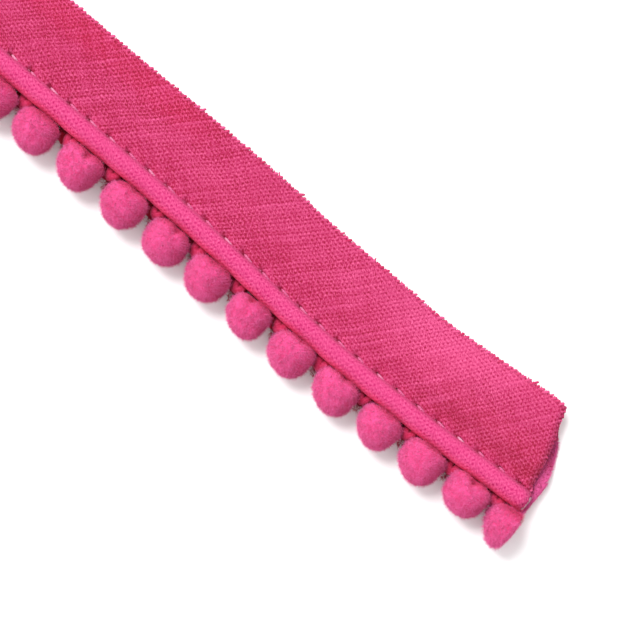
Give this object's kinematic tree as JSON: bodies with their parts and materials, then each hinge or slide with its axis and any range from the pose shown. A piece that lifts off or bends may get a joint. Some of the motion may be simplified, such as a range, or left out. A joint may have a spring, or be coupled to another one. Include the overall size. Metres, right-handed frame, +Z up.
{
  "type": "pompom trim",
  "caption": "Bias-cut cloth folded round a filler cord as piping, with a flat double seam allowance and a row of small pompoms on a braid sewn beneath, cut to length.",
  "frame": {"origin": "middle of the trim's underside, on the surface it lies on", "axes": "+X along the trim towards its scissored end, +Y from the piping towards the raw edges, +Z up, out of the face of the cloth"},
  "size_m": [0.1164, 0.0192, 0.0057],
  "materials": {
    "cloth": "matt bias-cut plain weave, deep pink, with uneven yarns",
    "thread": "pale pink-white twisted yarn of the filler cord and the sewing thread",
    "braid": "knitted narrow tape, deep pink",
    "pile": "dense soft pile, bright pink, slightly felted"
  },
  "bodies": {
    "root": {"bias_strip": "cloth", "filler_cord": "thread", "pompom_braid": "braid", "pompom_01": "pile", "pompom_02": "pile", "pompom_03": "pile", "pompom_04": "pile", "pompom_05": "pile", "pompom_06": "pile", "pompom_07": "pile", "pompom_08": "pile", "pompom_09": "pile", "pompom_10": "pile", "pompom_11": "pile", "pompom_12": "pile", "pompom_13": "pile", "pompom_14": "pile", "pompom_15": "pile", "pompom_16": "pile", "pompom_17": "pile", "pompom_18": "pile"}
  },
  "joints": []
}
